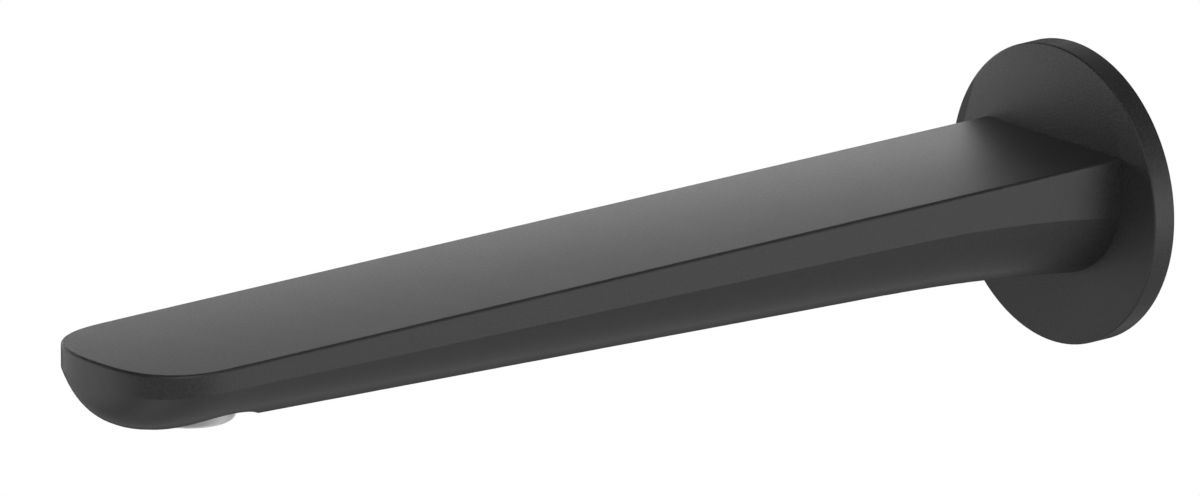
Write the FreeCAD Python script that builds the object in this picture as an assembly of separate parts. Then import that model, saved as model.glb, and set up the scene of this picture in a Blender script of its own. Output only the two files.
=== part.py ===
"""Wall-mounted bath spout in matt black brass.

The body is one casting: a flat top with straight sides, over a boat-shaped
hull whose crease runs along both sides and round the tip. It slides over a
nipple that is screwed into the wall, is sealed there by two O-rings and is
locked by a grub screw from below. A round flange covers the hole in the wall,
and a concealed aerator screws into the underside near the tip.

Frame: millimetres, +Z up, the wall is the plane Y = 0, the spout reaches
along -Y, and the origin is the centre of the flange on the wall.
"""

import FreeCAD, Part
import math
import os

V = FreeCAD.Vector

# Body, outside
LENGTH = 246.0  # wall to tip
HALF_WIDTH = 20.0
TOP_Z = 11.5
TOP_EDGE_R = 0.6
CREASE_Z = 7.1  # where the nose begins
CREASE_SLOPE = 1.0  # degrees, falling towards the wall
KEEL_Z = -3.8  # where the nose begins
KEEL_SLOPE = 2.4  # degrees, falling towards the wall
NOSE_LENGTH = 18.7
PLAN_POWER = 2.65  # of the superellipse that rounds the tip in plan
KEEL_POWER = 3.05  # of the one that rounds it in side view
NOSE_CREASE_DIP = 0.45
TIP_HALF_FLAT = 0.8
FLARE_LENGTH = 50.0  # where the hull swells to meet the flange
FLARE_CREASE_DROP = 3.7
FLARE_KEEL_DROP = 2.4

# Wall flange and its gasket
FLANGE_R = 30.0
FLANGE_T = 5.0
FLANGE_PLATE_T = 2.6
FLANGE_RIM_T = 3.0
FLANGE_EDGE_R = 0.35
GASKET_GAP = 0.2
GASKET_INNER_R = 14.5

# Wall nipple, G 1/2
THREAD_R = 10.4775
THREAD_LENGTH = 14.0
THREAD_CHAMFER = 1.0
COLLAR_R = 13.0
SPIGOT_R = 8.5
SPIGOT_LENGTH = 31.0  # beyond the front of the flange
NIPPLE_BORE_R = 4.6
KEY_FLATS = 10.0
KEY_DEPTH = 9.0
SPIGOT_CLEARANCE = 0.1
FLANGE_HOLE_CLEARANCE = 0.3

# Spigot seals
RING_GROOVE_DEPTH = 1.35
RING_GROOVE_WIDTH = 2.4
RING_SPACING = 8.0
RING_FROM_END = 5.0
RING_WIDTH = 1.9
SEAL_CLEARANCE = 0.01

# Locking grub screw, M5
GRUB_R = 2.5
GRUB_LENGTH = 6.0
GRUB_KEY_FLATS = 2.5
GRUB_KEY_DEPTH = 3.0
GRUB_TIP_CHAMFER = 0.7
GRUB_FROM_FLANGE = 8.0
GRUB_GROOVE_WIDTH = 6.0
GRUB_GROOVE_DEPTH = 0.6
GRUB_CLEARANCE = 0.05

# Waterway
SOCKET_DEPTH = 32.0
SOCKET_LEAD_IN = 0.8
INLET_R = 8.3
OUTLET_FROM_TIP = 23.0
WATERWAY_ROOF = 2.7
WATERWAY_HALF_WIDTH = 13.0  # at the outlet
WATERWAY_HALF_HEIGHT = 1.6  # at the outlet

# Outlet pocket
POCKET_R = 13.2
POCKET_Z = 0.3

# Aerator
AERATOR_R = 8.75
AERATOR_Z = -3.4
AERATOR_HEIGHT = 6.3
AERATOR_CLEARANCE = 0.1
AERATOR_EDGE = 0.4
AERATOR_WALL = 1.4
LIP_T = 0.8
LIP_REACH = 0.7
SLOT_COUNT = 4
SLOT_WIDTH = 2.2
SLOT_DEPTH = 0.9
SLOT_OUTER_WALL = 0.45
WASHER_T = 1.0
WASHER_INNER_R = 6.2
SEAT_R = 6.9
INSERT_GAP = 0.1
GRILLE_T = 1.2
GRILLE_CELL = 1.9  # spacing of the honeycomb
GRILLE_WEB = 0.35
SCREEN_T = 0.35
SCREEN_CELL = 1.7
SCREEN_WEB = 0.45
DIFFUSER_T = 1.4
DIFFUSER_HOLES = 12
DIFFUSER_HOLE_R = 0.55
REGULATOR_T = 1.5
REGULATOR_GROOVE_R = 3.2
REGULATOR_GROOVE_WIDTH = 1.9
REGULATOR_GROOVE_DEPTH = 1.0
REGULATOR_SLOTS = 6
REGULATOR_SLOT_R = 0.5
REGULATOR_RING_R = 0.8
FILTER_BASE_T = 0.7
FILTER_WALL = 0.6
FILTER_R = 5.7
FILTER_HEIGHT = 4.4
FILTER_TOP_R = 4.0
FILTER_SLOTS = 8
FILTER_SLOT_WIDTH = 1.0

# Places worked out from the sizes above
BODY_Y = -FLANGE_T
NOSE_Y = NOSE_LENGTH - LENGTH
SPIGOT_END_Y = BODY_Y - SPIGOT_LENGTH
SOCKET_END_Y = BODY_Y - SOCKET_DEPTH
SOCKET_R = SPIGOT_R + SPIGOT_CLEARANCE
GRUB_Y = BODY_Y - GRUB_FROM_FLANGE
GRUB_GROOVE_R = SPIGOT_R - GRUB_GROOVE_DEPTH
RING_FLOOR_R = SPIGOT_R - RING_GROOVE_DEPTH
RING_Y_REAR = SPIGOT_END_Y + RING_FROM_END
RING_Y_FRONT = RING_Y_REAR + RING_SPACING
OUTLET_Y = OUTLET_FROM_TIP - LENGTH
ROOF_Z = TOP_Z - WATERWAY_ROOF
AERATOR_TOP_Z = AERATOR_Z + AERATOR_HEIGHT
SEAT_Z = AERATOR_TOP_Z + WASHER_T
INSERT_R = AERATOR_R - AERATOR_WALL - INSERT_GAP
GRILLE_Z = AERATOR_Z + LIP_T
LOWER_SCREEN_Z = GRILLE_Z + GRILLE_T
UPPER_SCREEN_Z = LOWER_SCREEN_Z + SCREEN_T
DIFFUSER_Z = UPPER_SCREEN_Z + SCREEN_T
REGULATOR_Z = DIFFUSER_Z + DIFFUSER_T
FILTER_Z = REGULATOR_Z + REGULATOR_T


def superellipse(t, power):
    """Share of the full size that is left at t, from 0 to 1 along the nose."""
    return max(0.0, 1.0 - t**power) ** (1.0 / power)


def nose_share(y):
    """How far along the nose y lies: 0 where the nose begins, 1 at the tip."""
    return max(0.0, (NOSE_Y - y) / NOSE_LENGTH)


def flare_share(y):
    """How far along the flare y lies: 0 where it begins, 1 at the flange."""
    return max(0.0, (y - BODY_Y + FLARE_LENGTH) / FLARE_LENGTH)


def half_width(y):
    return HALF_WIDTH * superellipse(nose_share(y), PLAN_POWER)


def crease_z(y):
    along = max(y, NOSE_Y) - NOSE_Y
    straight = CREASE_Z - along * math.tan(math.radians(CREASE_SLOPE))
    dip = NOSE_CREASE_DIP * nose_share(y) ** 2
    return straight - dip - FLARE_CREASE_DROP * flare_share(y) ** 2


def keel_z(y):
    straight = KEEL_Z - (y - NOSE_Y) * math.tan(math.radians(KEEL_SLOPE))
    full = straight - FLARE_KEEL_DROP * flare_share(y) ** 2
    left = superellipse(nose_share(y), KEEL_POWER)
    return crease_z(y) - (crease_z(y) - full) * left


def body_section(y):
    """Flat top, straight sides, and one arc from crease to crease."""
    w = half_width(y)
    crease = crease_z(y)
    far_top = V(-w, y, TOP_Z)
    far_crease = V(-w, y, crease)
    near_crease = V(w, y, crease)
    near_top = V(w, y, TOP_Z)
    arc = Part.Arc(far_crease, V(0, y, keel_z(y)), near_crease).toShape()
    near_side = Part.makeLine(near_crease, near_top)
    top = Part.makeLine(near_top, far_top)
    far_side = Part.makeLine(far_top, far_crease)
    return Part.Wire([arc, near_side, top, far_side])


def body_stations():
    """Y of each section: even along the flare and the straight, closer at the tip."""
    flare = [BODY_Y - FLARE_LENGTH * i / 5.0 for i in range(6)]
    straight_start = flare[-1]
    straight = [straight_start + (NOSE_Y - straight_start) * i / 7.0 for i in range(1, 8)]
    last = math.degrees(math.acos((TIP_HALF_FLAT / HALF_WIDTH) ** (PLAN_POWER / 2.0)))
    turns = [last * i / 9.0 for i in range(1, 10)]
    nose = [
        NOSE_Y - NOSE_LENGTH * math.sin(math.radians(a)) ** (2.0 / PLAN_POWER)
        for a in turns
    ]
    return flare + straight + nose


def cylinder_z(radius, z_from, z_to, x=0.0, y=OUTLET_Y):
    return Part.makeCylinder(radius, z_to - z_from, V(x, y, z_from), V(0, 0, 1))


def cylinder_y(radius, y_from, y_to, z=0.0):
    """Round bar along Y from y_from out to y_to, which lies nearer the tip."""
    return Part.makeCylinder(radius, y_from - y_to, V(0, y_from, z), V(0, -1, 0))


def ring_z(outer, inner, z_from, z_to):
    tube = cylinder_z(outer, z_from, z_to)
    return tube.cut(cylinder_z(inner, z_from - 1, z_to + 1))


def hexagon_prism(flats, start, direction, x_axis):
    """Six-sided bar with the given size across flats, from start along direction."""
    radius = flats / 2.0 / math.cos(math.radians(30))
    side_axis = direction.cross(x_axis).normalize()
    corners = []
    for i in range(7):
        a = math.radians(60 * i)
        across = x_axis * (radius * math.cos(a))
        corners.append(start + across + side_axis * (radius * math.sin(a)))
    return Part.Face(Part.makePolygon(corners)).extrude(direction)


def ellipse_wire(y, z, half_w, half_h):
    """Upright oval across Y, wider than it is tall."""
    ellipse = Part.Ellipse(V(half_w, y, z), V(0, y, z + half_h), V(0, y, z))
    return Part.Wire([ellipse.toShape()])


def waterway():
    """Round at the socket and flatter at the outlet, where the spout is thin."""
    outlet_z = ROOF_Z - WATERWAY_HALF_HEIGHT
    sections = [
        ellipse_wire(SOCKET_END_Y + 0.5, 0.0, INLET_R + 0.01, INLET_R),
        ellipse_wire(OUTLET_Y, outlet_z, WATERWAY_HALF_WIDTH, WATERWAY_HALF_HEIGHT),
    ]
    channel = Part.makeLoft(sections, True, True)
    chamber = cylinder_z(SEAT_R, SEAT_Z - 1, ROOF_Z)
    return channel.fuse(chamber)


def socket():
    """Bore for the nipple's spigot, with a lead-in for its O-rings."""
    bore = cylinder_y(SOCKET_R, BODY_Y + 1, SOCKET_END_Y)
    mouth_r = SOCKET_R + SOCKET_LEAD_IN
    lead_in = Part.makeCone(
        mouth_r, SOCKET_R, SOCKET_LEAD_IN, V(0, BODY_Y, 0), V(0, -1, 0)
    )
    return bore.fuse(lead_in)


def outlet_pocket():
    """Flat round pocket about the aerator, and the aerator's bore above it."""
    deep = KEEL_Z - 10
    pocket = cylinder_z(POCKET_R, deep, POCKET_Z)
    bore = cylinder_z(AERATOR_R + AERATOR_CLEARANCE, deep, SEAT_Z)
    return pocket.fuse(bore)


def spout_body():
    sections = [body_section(y) for y in body_stations()]
    body = Part.makeLoft(sections, True, False)
    rim = [
        e
        for e in body.Edges
        if all(abs(v.Z - TOP_Z) < 1e-6 for v in e.Vertexes)
        and not all(abs(v.Y - BODY_Y) < 1e-6 for v in e.Vertexes)
    ]
    body = body.makeFillet(TOP_EDGE_R, rim)
    grub_hole = cylinder_z(GRUB_R + GRUB_CLEARANCE, -4 * SOCKET_R, 0.0, 0.0, GRUB_Y)
    for tool in (waterway(), socket(), outlet_pocket(), grub_hole):
        body = body.cut(tool)
    return body


def wall_flange():
    """Turned disc, hollow at the back so that only its rim meets the wall."""
    disc = cylinder_y(FLANGE_R, 0.0, BODY_Y)
    front = [
        e
        for e in disc.Edges
        if all(abs(v.Y - BODY_Y) < 1e-6 for v in e.Vertexes)
    ]
    disc = disc.makeFillet(FLANGE_EDGE_R, front)
    hollow = cylinder_y(FLANGE_R - FLANGE_RIM_T, 1.0, BODY_Y + FLANGE_PLATE_T)
    hole = cylinder_y(SPIGOT_R + FLANGE_HOLE_CLEARANCE, 1.0, BODY_Y - 1.0)
    return disc.cut(hollow).cut(hole)


def flange_gasket():
    outer = cylinder_y(FLANGE_R - FLANGE_RIM_T - GASKET_GAP, 0.0, BODY_Y + FLANGE_PLATE_T)
    return outer.cut(cylinder_y(GASKET_INNER_R, 1.0, BODY_Y))


def wall_nipple():
    """Turned profile: thread, collar, and a spigot with its grooves."""
    collar_front = BODY_Y + FLANGE_PLATE_T
    outline = [
        (0.0, THREAD_LENGTH),
        (THREAD_R - THREAD_CHAMFER, THREAD_LENGTH),
        (THREAD_R, THREAD_LENGTH - THREAD_CHAMFER),
        (THREAD_R, 0.0),
        (COLLAR_R, 0.0),
        (COLLAR_R, collar_front),
        (SPIGOT_R, collar_front),
    ]
    grooves = [
        (GRUB_Y, GRUB_GROOVE_WIDTH, GRUB_GROOVE_R),
        (RING_Y_FRONT, RING_GROOVE_WIDTH, RING_FLOOR_R),
        (RING_Y_REAR, RING_GROOVE_WIDTH, RING_FLOOR_R),
    ]
    for middle, width, floor in grooves:
        outline.append((SPIGOT_R, middle + width / 2))
        outline.append((floor, middle + width / 2))
        outline.append((floor, middle - width / 2))
        outline.append((SPIGOT_R, middle - width / 2))
    outline.append((SPIGOT_R, SPIGOT_END_Y + SOCKET_LEAD_IN))
    outline.append((SPIGOT_R - SOCKET_LEAD_IN, SPIGOT_END_Y))
    outline.append((0.0, SPIGOT_END_Y))
    points = [V(r, y, 0) for r, y in outline]
    profile = Part.Face(Part.makePolygon(points + points[:1]))
    turned = profile.revolve(V(0, 0, 0), V(0, 1, 0), 360)
    bore = cylinder_y(NIPPLE_BORE_R, THREAD_LENGTH + 1, SPIGOT_END_Y - 1)
    key = hexagon_prism(
        KEY_FLATS, V(0, SPIGOT_END_Y - 1, 0), V(0, KEY_DEPTH + 1, 0), V(1, 0, 0)
    )
    return turned.cut(bore).cut(key)


def spigot_ring(y):
    """O-ring as it lies squeezed between the groove and the socket."""
    inner = RING_FLOOR_R + SEAL_CLEARANCE
    outer = SOCKET_R - SEAL_CLEARANCE
    middle = (inner + outer) / 2
    half = (outer - inner) / 2
    ellipse = Part.Ellipse(
        V(middle, y + RING_WIDTH / 2, 0), V(middle + half, y, 0), V(middle, y, 0)
    )
    face = Part.Face(Part.Wire([ellipse.toShape()]))
    return face.revolve(V(0, 0, 0), V(0, 1, 0), 360)


def locking_grub_screw():
    """Its tip bears on the groove in the spigot."""
    tip_z = -GRUB_GROOVE_R
    end_z = tip_z - GRUB_LENGTH
    shank = cylinder_z(GRUB_R, end_z, tip_z - GRUB_TIP_CHAMFER, 0.0, GRUB_Y)
    tip = Part.makeCone(
        GRUB_R,
        GRUB_R - GRUB_TIP_CHAMFER,
        GRUB_TIP_CHAMFER,
        V(0, GRUB_Y, tip_z - GRUB_TIP_CHAMFER),
        V(0, 0, 1),
    )
    key = hexagon_prism(
        GRUB_KEY_FLATS, V(0, GRUB_Y, end_z - 1), V(0, 0, GRUB_KEY_DEPTH + 1), V(1, 0, 0)
    )
    return shank.fuse(tip).removeSplitter().cut(key)


def aerator_housing():
    """Tube with an inner lip that carries the insert, and slots for its key."""
    inner_r = AERATOR_R - AERATOR_WALL
    shell = cylinder_z(AERATOR_R, AERATOR_Z, AERATOR_TOP_Z)
    rims = [e for e in shell.Edges if all(abs(v.Z - AERATOR_Z) < 1e-6 for v in e.Vertexes)]
    shell = shell.makeChamfer(AERATOR_EDGE, rims)
    shell = shell.cut(cylinder_z(inner_r, AERATOR_Z + LIP_T, AERATOR_TOP_Z + 1))
    shell = shell.cut(cylinder_z(inner_r - LIP_REACH, AERATOR_Z - 1, AERATOR_TOP_Z))
    slot_end = AERATOR_R - SLOT_OUTER_WALL
    for i in range(SLOT_COUNT):
        slot = Part.makeBox(
            slot_end, SLOT_WIDTH, SLOT_DEPTH + 1, V(0, -SLOT_WIDTH / 2, AERATOR_Z - 1)
        )
        slot.rotate(V(0, 0, 0), V(0, 0, 1), 45 + 360.0 * i / SLOT_COUNT)
        slot.translate(V(0, OUTLET_Y, 0))
        shell = shell.cut(slot)
    return shell


def aerator_washer():
    return ring_z(AERATOR_R, WASHER_INNER_R, AERATOR_TOP_Z, SEAT_Z)


def honeycomb(radius, z_from, thickness, cell, web, rim):
    """Disc pierced by a honeycomb of six-sided holes inside its rim."""
    disc = cylinder_z(radius, z_from, z_from + thickness)
    holes = []
    row_step = cell * math.sqrt(3) / 2
    rows = int(radius / row_step) + 1
    for row in range(-rows, rows + 1):
        shift = cell / 2 if row % 2 else 0.0
        for column in range(-rows - 1, rows + 2):
            x = column * cell + shift
            y = row * row_step
            if math.hypot(x, y) + cell / 2 > radius - rim:
                continue
            start = V(x, OUTLET_Y + y, z_from - 1)
            holes.append(
                hexagon_prism(cell - web, start, V(0, 0, thickness + 2), V(0, 1, 0))
            )
    return disc.cut(Part.makeCompound(holes))


def outlet_grille():
    return honeycomb(INSERT_R, GRILLE_Z, GRILLE_T, GRILLE_CELL, GRILLE_WEB, LIP_REACH)


def aerator_screen(z):
    return honeycomb(INSERT_R, z, SCREEN_T, SCREEN_CELL, SCREEN_WEB, LIP_REACH)


def hole_circle(body, count, radius, circle_r, z_from, z_to):
    """Cut count round holes, evenly spaced on a circle about the outlet."""
    for i in range(count):
        a = 2 * math.pi * i / count
        x = circle_r * math.cos(a)
        y = OUTLET_Y + circle_r * math.sin(a)
        body = body.cut(cylinder_z(radius, z_from, z_to, x, y))
    return body


def aerator_diffuser():
    """Dished plate whose ring of small holes makes the jets."""
    plate = cylinder_z(INSERT_R, DIFFUSER_Z, REGULATOR_Z)
    dish = cylinder_z(REGULATOR_GROOVE_R + 1.3, REGULATOR_Z - DIFFUSER_T / 2, REGULATOR_Z + 1)
    plate = plate.cut(dish)
    return hole_circle(
        plate, DIFFUSER_HOLES, DIFFUSER_HOLE_R, REGULATOR_GROOVE_R, DIFFUSER_Z - 1, REGULATOR_Z
    )


def flow_regulator():
    """Disc with a ring groove for the elastic ring, and slots beneath it."""
    disc = cylinder_z(INSERT_R, REGULATOR_Z, FILTER_Z)
    half = REGULATOR_GROOVE_WIDTH / 2
    floor_z = FILTER_Z - REGULATOR_GROOVE_DEPTH
    groove = ring_z(REGULATOR_GROOVE_R + half, REGULATOR_GROOVE_R - half, floor_z, FILTER_Z + 1)
    disc = disc.cut(groove)
    return hole_circle(
        disc, REGULATOR_SLOTS, REGULATOR_SLOT_R, REGULATOR_GROOVE_R, REGULATOR_Z - 1, FILTER_Z
    )


def regulator_o_ring():
    z = FILTER_Z - REGULATOR_GROOVE_DEPTH + REGULATOR_RING_R
    return Part.makeTorus(REGULATOR_GROOVE_R, REGULATOR_RING_R, V(0, OUTLET_Y, z), V(0, 0, 1))


def dome_filter():
    """Slotted cap that keeps grit out of the regulator."""
    cap_z = FILTER_Z + FILTER_BASE_T
    top_z = cap_z + FILTER_HEIGHT
    base = cylinder_z(INSERT_R, FILTER_Z, cap_z)
    cap = Part.makeCone(
        FILTER_R, FILTER_TOP_R, FILTER_HEIGHT, V(0, OUTLET_Y, cap_z), V(0, 0, 1)
    )
    hollow_r = FILTER_R - FILTER_WALL
    room = Part.makeCone(
        hollow_r,
        FILTER_TOP_R - FILTER_WALL,
        top_z - FILTER_WALL - FILTER_Z,
        V(0, OUTLET_Y, FILTER_Z),
        V(0, 0, 1),
    )
    dome = base.fuse(cap).cut(room)
    slot_height = FILTER_HEIGHT - 2 * FILTER_WALL
    slot_corner = V(FILTER_TOP_R - 2 * FILTER_WALL, -FILTER_SLOT_WIDTH / 2, cap_z + FILTER_WALL)
    for i in range(FILTER_SLOTS):
        slot = Part.makeBox(FILTER_R, FILTER_SLOT_WIDTH, slot_height, slot_corner)
        slot.rotate(V(0, 0, 0), V(0, 0, 1), 360.0 * i / FILTER_SLOTS)
        slot.translate(V(0, OUTLET_Y, 0))
        dome = dome.cut(slot)
    return dome


def pieces():
    return {
        "spout_body": spout_body(),
        "wall_flange": wall_flange(),
        "flange_gasket": flange_gasket(),
        "wall_nipple": wall_nipple(),
        "spigot_o_ring_front": spigot_ring(RING_Y_FRONT),
        "spigot_o_ring_rear": spigot_ring(RING_Y_REAR),
        "locking_grub_screw": locking_grub_screw(),
        "aerator_housing": aerator_housing(),
        "aerator_washer": aerator_washer(),
        "outlet_grille": outlet_grille(),
        "lower_screen": aerator_screen(LOWER_SCREEN_Z),
        "upper_screen": aerator_screen(UPPER_SCREEN_Z),
        "aerator_diffuser": aerator_diffuser(),
        "flow_regulator": flow_regulator(),
        "regulator_o_ring": regulator_o_ring(),
        "dome_filter": dome_filter(),
    }


os.makedirs("parts", exist_ok=True)
for name, shape in pieces().items():
    if len(shape.Solids) != 1 or not shape.isValid():
        raise ValueError(name + " is not one sound solid")
    shape.Solids[0].exportStep("parts/" + name + ".step")
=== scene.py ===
"""Looks of the wall-mounted bath spout: materials, thread, lights, floor and camera.

Everything is in metres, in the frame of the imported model: the wall is Y = 0,
the spout reaches along -Y and +Z is up. Only the nipple's sizes are in millimetres.
"""

import math

import bpy
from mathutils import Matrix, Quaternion, Vector


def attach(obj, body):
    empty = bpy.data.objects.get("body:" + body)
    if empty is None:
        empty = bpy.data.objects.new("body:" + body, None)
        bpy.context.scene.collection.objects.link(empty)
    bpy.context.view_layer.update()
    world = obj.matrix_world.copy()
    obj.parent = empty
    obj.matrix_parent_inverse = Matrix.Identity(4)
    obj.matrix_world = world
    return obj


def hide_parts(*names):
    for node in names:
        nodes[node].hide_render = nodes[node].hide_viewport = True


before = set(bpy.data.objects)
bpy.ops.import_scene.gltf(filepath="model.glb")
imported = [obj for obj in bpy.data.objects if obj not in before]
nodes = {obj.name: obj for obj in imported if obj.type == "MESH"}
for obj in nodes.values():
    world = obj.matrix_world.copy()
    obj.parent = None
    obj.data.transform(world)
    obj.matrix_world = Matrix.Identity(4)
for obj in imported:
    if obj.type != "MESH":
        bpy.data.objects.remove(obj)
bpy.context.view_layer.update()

# Camera, at the photograph's viewing angle
LENS = 660.0
SENSOR = 36.0
CAMERA_AT = Vector((3.08133, -2.749898, 1.189316))
CAMERA_TARGET = Vector((-0.002659, -0.118808, 0.00961))
CAMERA_ROLL = 0.168  # degrees
CLIP_START = 0.1
CLIP_END = 60.0

# Lamps: name, azimuth, elevation, distance, width, height, brightness beside white.
# Azimuth 0 is out from the wall, past the tip, and 90 is along +X.
LAMPS = [
    ("lamp_above", 80.0, 48.0, 0.7, 0.5, 0.5, 2.76),
    ("lamp_above_tip", 50.0, 35.0, 0.4, 0.25, 0.25, 4.0),
    ("lamp_right", 130.0, -4.0, 0.7, 0.42, 0.36, 4.9),
    ("lamp_right_near", 100.0, -10.0, 0.4, 0.2, 0.2, 1.63),
    ("lamp_left", 330.0, -16.0, 0.7, 0.42, 0.36, 1.71),
    ("lamp_left_tip", 310.0, -4.0, 0.35, 0.2, 0.15, 1.7),
    ("lamp_below", 20.0, -48.0, 0.45, 0.36, 0.36, 1.9),
    ("lamp_behind", 235.0, 26.0, 0.2, 0.4, 0.08, 0.8),
    ("lamp_beside", 265.0, 26.0, 0.05, 0.5, 0.02, 1.58),
    ("lamp_beside_wall", 258.0, 18.0, 0.05, 0.5, 0.02, 0.84),
]
LAMP_CENTRE = Vector((0.0, -0.12, 0.0))

# Background and floor
WHITE = (1.0, 1.0, 1.0, 1.0)
CEILING_SHADE = 0.06  # the white background dims to this overhead
CEILING_FROM = 0.0  # height on the sky, as a sine
CEILING_TO = 0.35
FLOOR_Z = -0.6
FLOOR_HALF = 10.0
FLOOR_PAINT = (0.9, 0.9, 0.9, 1.0)
FLOOR_NEAR = 0.6  # share of plain white under the spout, the rest takes its shadow
FLOOR_FADE_FROM = 0.3  # metres out to where that share starts to grow
FLOOR_FADE_TO = 1.6  # metres out to where the floor is white alone

# Materials
NOISE_LOW = 0.3  # noise seldom leaves the range between these two
NOISE_HIGH = 0.7
MIX_FIRST = 6  # colour sockets of the Mix node, whose names repeat
MIX_SECOND = 7
MIX_RESULT = 2

# Wall nipple in millimetres, as its CAD solid, with the G 1/2 thread cut into it
MM_PER_METRE = 1000.0
TURN_STEPS = 180
SHARP_ANGLE = 32.0  # degrees between faces from which an edge shows
THREAD_R = 10.4775
THREAD_END = 14.0
THREAD_CHAMFER = 1.0
THREAD_PITCH = 1.814
THREAD_DEPTH = 1.162
THREAD_SLOPE = 1.25  # above 1 the crests and roots have a flat
THREAD_ROWS = 112
THREAD_RUN_OUT = 1.6
COLLAR_R = 13.0
COLLAR_T = 2.4
COLLAR_EDGE = 0.3
SPIGOT_R = 8.5
SPIGOT_END = -36.0
SPIGOT_CHAMFER = 0.8
GROOVES = [(-13.0, 6.0, 7.9), (-23.0, 2.4, 7.15), (-31.0, 2.4, 7.15)]  # middle, width, radius
BORE_R = 4.6
KEY_FLATS = 10.0
KEY_DEPTH = 9.0


class Graph:
    """Short way to write a node tree."""

    def __init__(self, tree):
        self.tree = tree
        tree.nodes.clear()

    def node(self, kind, inputs=None, **settings):
        """New node. Each input is a plain value, or the socket that feeds it."""
        made = self.tree.nodes.new(kind)
        for key, value in settings.items():
            setattr(made, key, value)
        for key, value in (inputs or {}).items():
            if isinstance(value, bpy.types.NodeSocket):
                self.tree.links.new(value, made.inputs[key])
            else:
                made.inputs[key].default_value = value
        return made

    def place(self):
        return self.node("ShaderNodeTexCoord").outputs["Object"]

    def noise(self, size, detail=2.0, rough=0.5, place=None):
        """Noise whose grains are about size metres across."""
        made = self.node(
            "ShaderNodeTexNoise",
            {
                "Vector": place or self.place(),
                "Scale": 1.0 / size,
                "Detail": detail,
                "Roughness": rough,
            },
        )
        return made.outputs["Fac"]

    def spread(self, value, low, high, low_from=NOISE_LOW, high_from=NOISE_HIGH):
        """Value turned from its range low_from to high_from into low to high."""
        made = self.node(
            "ShaderNodeMapRange",
            {
                "Value": value,
                "From Min": low_from,
                "From Max": high_from,
                "To Min": low,
                "To Max": high,
            },
        )
        return made.outputs["Result"]

    def shade(self, noise, first, second):
        """Colour that goes from first to second as the noise rises."""
        made = self.node(
            "ShaderNodeMix",
            {
                "Factor": self.spread(noise, 0.0, 1.0),
                MIX_FIRST: (*first, 1.0),
                MIX_SECOND: (*second, 1.0),
            },
            data_type="RGBA",
        )
        return made.outputs[MIX_RESULT]

    def bump(self, height, depth, strength=1.0, under=None):
        """Relief depth metres deep, over the one under it if there is one."""
        inputs = {"Height": height, "Distance": depth, "Strength": strength}
        if under is not None:
            inputs["Normal"] = under
        return self.node("ShaderNodeBump", inputs).outputs["Normal"]

    def combine(self, operation, first, second):
        made = self.node("ShaderNodeMath", {0: first, 1: second}, operation=operation)
        return made.outputs[0]

    def surface(self, inputs):
        return self.node("ShaderNodeBsdfPrincipled", inputs)


def material(name, build):
    made = bpy.data.materials.new(name)
    made.use_nodes = True
    graph = Graph(made.node_tree)
    shader = build(graph)
    graph.node("ShaderNodeOutputMaterial", {"Surface": shader.outputs[0]})
    return made


def even(level):
    """Neutral colour of one level."""
    return (level, level, level)


def powder_coat(g):
    """Matte black powder coat: fine grain over a slight orange peel, duller at a glance."""
    facing = g.node("ShaderNodeLayerWeight", {"Blend": 0.5}).outputs["Facing"]
    grain = g.noise(size=0.00055, rough=0.6)
    peel = g.noise(size=0.0016, detail=1.0)
    patch = g.noise(size=0.012)
    rough = g.spread(grain, g.spread(patch, 0.455, 0.47), 0.555)
    return g.surface(
        {
            "Base Color": g.shade(grain, even(0.013), even(0.023)),
            "Roughness": g.spread(facing, rough, 0.95, low_from=0.74, high_from=0.96),
            "IOR": 1.5,
            "Specular IOR Level": 0.2,
            "Normal": g.bump(grain, depth=0.000035, under=g.bump(peel, depth=0.000006)),
        }
    )


def turned_brass(g):
    """Brass with fine tool rings round the nipple's axis."""
    along = g.node("ShaderNodeSeparateXYZ", {"Vector": g.place()}).outputs["Y"]
    rings = g.node("ShaderNodeCombineXYZ", {"X": along}).outputs["Vector"]
    groove = g.noise(size=0.00018, detail=3.0, rough=0.6, place=rings)
    stain = g.noise(size=0.004, detail=3.0)
    return g.surface(
        {
            "Base Color": g.shade(stain, (0.70, 0.50, 0.22), (0.78, 0.59, 0.31)),
            "Metallic": 1.0,
            "Roughness": g.spread(groove, 0.36, 0.5),
            "Normal": g.bump(groove, depth=0.00001),
        }
    )


def rubber(g):
    """Near-black rubber with a fine fleck."""
    fleck = g.noise(size=0.0004)
    return g.surface(
        {
            "Base Color": g.shade(fleck, even(0.018), even(0.03)),
            "Roughness": g.spread(fleck, 0.5, 0.62),
            "Normal": g.bump(fleck, depth=0.000008),
        }
    )


def closed_cell_foam(g):
    """Dark foam with small pores."""
    cells = g.node("ShaderNodeTexVoronoi", {"Vector": g.place(), "Scale": 1600.0})
    pores = cells.outputs["Distance"]
    tone = g.noise(size=0.003)
    return g.surface(
        {
            "Base Color": g.shade(tone, (0.05, 0.05, 0.052), (0.075, 0.075, 0.078)),
            "Roughness": g.spread(pores, 0.95, 0.8, low_from=0.0, high_from=0.8),
            "Normal": g.bump(pores, depth=0.00015, strength=0.7),
        }
    )


def brushed_steel(g):
    """Stainless steel with fine lines along X."""
    stretch = g.node("ShaderNodeMapping", {"Vector": g.place(), "Scale": (1.0, 12.0, 12.0)})
    lines = g.noise(size=0.0012, detail=3.0, rough=0.6, place=stretch.outputs["Vector"])
    return g.surface(
        {
            "Base Color": g.shade(lines, (0.5, 0.5, 0.5), (0.62, 0.62, 0.61)),
            "Metallic": 1.0,
            "Roughness": g.spread(lines, 0.25, 0.4),
            "Normal": g.bump(lines, depth=0.000004),
        }
    )


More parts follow.
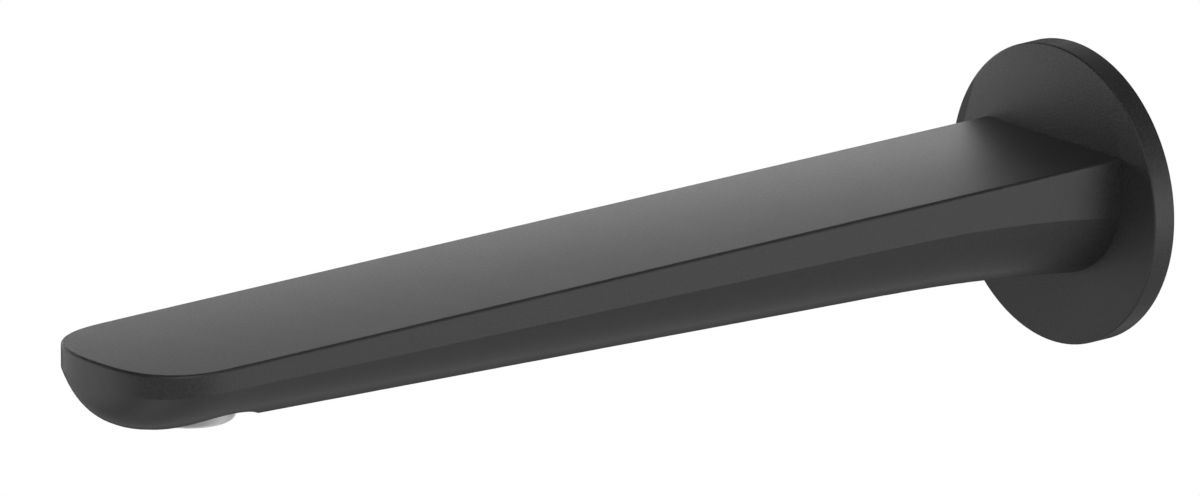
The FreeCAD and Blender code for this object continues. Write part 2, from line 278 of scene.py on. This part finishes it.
def moulded_plastic(dark, light, rough):
    """Slightly grained plastic between two close shades."""

    def build(g):
        grain = g.noise(size=0.0003)
        flow = g.noise(size=0.003)
        return g.surface(
            {
                "Base Color": g.shade(flow, dark, light),
                "Roughness": g.spread(grain, rough, rough + 0.1),
                "IOR": 1.49,
                "Normal": g.bump(grain, depth=0.000005),
            }
        )

    return build


def add_object(name, data):
    made = bpy.data.objects.new(name, data)
    bpy.context.scene.collection.objects.link(made)
    return made


def thread_radius(y, turn):
    """Rounded right-hand thread, chamfered at its end and running out at the collar."""
    phase = (y / THREAD_PITCH - turn) % 1.0
    flank = abs(2.0 * phase - 1.0)
    climb = max(-0.5, min(0.5, THREAD_SLOPE * (flank - 0.5)))
    valley = 0.5 - 0.5 * math.sin(math.pi * climb)
    run_out = min(1.0, y / THREAD_RUN_OUT)
    cut = THREAD_R - THREAD_DEPTH * valley * run_out
    return min(cut, THREAD_R - THREAD_CHAMFER + THREAD_END - y)


def hexagon_radius(turn):
    """Radius of the key's six-sided hole at a share of a turn."""
    off_flat = (turn * 360.0) % 60.0 - 30.0
    return KEY_FLATS / 2.0 / math.cos(math.radians(off_flat))


def nipple_rows():
    """Rows round the nipple, each a height along Y and its radius, or a rule for it."""
    rows = [(THREAD_END, BORE_R)]
    for i in range(THREAD_ROWS + 1):
        y = THREAD_END * (1.0 - i / THREAD_ROWS)
        rows.append((y, lambda turn, y=y: thread_radius(y, turn)))
    rows += [
        (0.0, COLLAR_R - COLLAR_EDGE),
        (-COLLAR_EDGE, COLLAR_R),
        (COLLAR_EDGE - COLLAR_T, COLLAR_R),
        (-COLLAR_T, COLLAR_R - COLLAR_EDGE),
        (-COLLAR_T, SPIGOT_R),
    ]
    for middle, width, floor in GROOVES:
        rows += [
            (middle + width / 2, SPIGOT_R),
            (middle + width / 2, floor),
            (middle - width / 2, floor),
            (middle - width / 2, SPIGOT_R),
        ]
    rows += [
        (SPIGOT_END + SPIGOT_CHAMFER, SPIGOT_R),
        (SPIGOT_END, SPIGOT_R - SPIGOT_CHAMFER),
        (SPIGOT_END, hexagon_radius),
        (SPIGOT_END + KEY_DEPTH, hexagon_radius),
        (SPIGOT_END + KEY_DEPTH, BORE_R),
    ]
    return rows


def add_threaded_nipple(finish):
    """The wall nipple as one closed ring of rows, from the bore over the thread and back."""
    rows = nipple_rows()
    points = []
    for y, radius in rows:
        for step in range(TURN_STEPS):
            turn = step / TURN_STEPS
            r = radius(turn) if callable(radius) else radius
            a = 2.0 * math.pi * turn
            spot = (r * math.sin(a), y, r * math.cos(a))
            points.append([length / MM_PER_METRE for length in spot])
    faces = []
    for row in range(len(rows)):
        here = row * TURN_STEPS
        there = (row + 1) % len(rows) * TURN_STEPS
        for step in range(TURN_STEPS):
            after = (step + 1) % TURN_STEPS
            faces.append((here + step, there + step, there + after, here + after))
    mesh = bpy.data.meshes.new("threaded_nipple")
    mesh.from_pydata(points, [], faces)
    mesh.materials.append(finish)
    mesh.shade_smooth()
    mesh.set_sharp_from_angle(angle=math.radians(SHARP_ANGLE))
    mesh.update()
    nipple = add_object("threaded_nipple", mesh)
    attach(nipple, "root")
    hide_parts("wall_nipple")


def dress():
    """Give every CAD node its material, and the nipple its thread."""
    coat = material("powder_coat", powder_coat)
    brass = material("turned_brass", turned_brass)
    seal = material("seal_rubber", rubber)
    foam = material("foam", closed_cell_foam)
    steel = material("steel", brushed_steel)
    mid_grey = moulded_plastic(even(0.51), even(0.57), 0.3)
    grey = material("grey_plastic", mid_grey)
    off_white = moulded_plastic((0.62, 0.62, 0.61), (0.68, 0.68, 0.67), 0.35)
    white = material("white_plastic", off_white)
    mid_blue = moulded_plastic((0.1, 0.2, 0.36), (0.13, 0.24, 0.42), 0.35)
    blue = material("blue_plastic", mid_blue)
    finishes = {
        "spout_body": coat,
        "wall_flange": coat,
        "flange_gasket": foam,
        "wall_nipple": brass,
        "spigot_o_ring_front": seal,
        "spigot_o_ring_rear": seal,
        "locking_grub_screw": steel,
        "aerator_housing": grey,
        "aerator_washer": seal,
        "outlet_grille": grey,
        "lower_screen": steel,
        "upper_screen": steel,
        "aerator_diffuser": white,
        "flow_regulator": blue,
        "regulator_o_ring": seal,
        "dome_filter": white,
    }
    for name, finish in finishes.items():
        node = nodes[name]
        node.material_slots[0].material = finish
    add_threaded_nipple(brass)


def direction(azimuth, elevation):
    a = math.radians(azimuth)
    e = math.radians(elevation)
    return Vector((math.sin(a) * math.cos(e), -math.cos(a) * math.cos(e), math.sin(e)))


def aim(thing, at, target, roll=0.0):
    """Put a lamp or camera at a point and turn it to another."""
    turn = Quaternion((0.0, 0.0, 1.0), math.radians(roll))
    thing.location = at
    thing.rotation_mode = "QUATERNION"
    thing.rotation_quaternion = (target - at).to_track_quat("-Z", "Y") @ turn


def add_lamp(name, azimuth, elevation, distance, width, height, brightness):
    data = bpy.data.lights.new(name, "AREA")
    data.shape = "RECTANGLE"
    data.size = width
    data.size_y = height
    data.energy = brightness * math.pi * width * height
    lamp = add_object(name, data)
    aim(lamp, LAMP_CENTRE + direction(azimuth, elevation) * distance, LAMP_CENTRE)
    lamp.visible_camera = False


def seen_ray(g):
    """1 for rays from the camera, off a gloss surface or through glass, else 0."""
    path = g.node("ShaderNodeLightPath").outputs
    direct = g.combine("MAXIMUM", path["Is Camera Ray"], path["Is Glossy Ray"])
    return g.combine("MAXIMUM", direct, path["Is Transmission Ray"])


def add_world():
    """White background that gives no light of its own and dims overhead."""
    world = bpy.data.worlds.new("studio")
    bpy.context.scene.world = world
    world.use_nodes = True
    g = Graph(world.node_tree)
    heading = g.node("ShaderNodeTexCoord").outputs["Generated"]
    height = g.node("ShaderNodeSeparateXYZ", {"Vector": heading}).outputs["Z"]
    dimmed = g.spread(height, 1.0, CEILING_SHADE, CEILING_FROM, CEILING_TO)
    strength = g.combine("MULTIPLY", seen_ray(g), dimmed)
    sky = g.node("ShaderNodeBackground", {"Color": WHITE, "Strength": strength})
    g.node("ShaderNodeOutputWorld", {"Surface": sky.outputs[0]})


def floor_paint(g):
    """Pale floor that takes the shadow under the spout and fades to plain white."""
    plain = g.node("ShaderNodeBsdfDiffuse", {"Color": FLOOR_PAINT})
    white = g.node("ShaderNodeEmission", {"Color": WHITE, "Strength": 1.0})
    away = g.node("ShaderNodeVectorMath", {0: g.place()}, operation="LENGTH").outputs["Value"]
    seen_white = g.spread(away, FLOOR_NEAR, 1.0, FLOOR_FADE_FROM, FLOOR_FADE_TO)
    share = g.combine("MULTIPLY", seen_ray(g), seen_white)
    return g.node("ShaderNodeMixShader", {0: share, 1: plain.outputs[0], 2: white.outputs[0]})


def add_floor():
    half = FLOOR_HALF
    mesh = bpy.data.meshes.new("floor")
    corners = [(-half, -half, 0), (half, -half, 0), (half, half, 0), (-half, half, 0)]
    mesh.from_pydata(corners, [], [(0, 1, 2, 3)])
    mesh.materials.append(material("floor_paint", floor_paint))
    floor = add_object("floor", mesh)
    floor.location = (0.0, 0.0, FLOOR_Z)


def add_camera():
    data = bpy.data.cameras.new("camera")
    data.sensor_fit = "HORIZONTAL"
    data.sensor_width = SENSOR
    data.lens = LENS
    data.clip_start = CLIP_START
    data.clip_end = CLIP_END
    camera = add_object("camera", data)
    aim(camera, CAMERA_AT, CAMERA_TARGET, CAMERA_ROLL)
    bpy.context.scene.camera = camera


dress()
for lamp_row in LAMPS:
    add_lamp(*lamp_row)
add_world()
add_floor()
add_camera()
bpy.context.scene.view_settings.view_transform = "Standard"
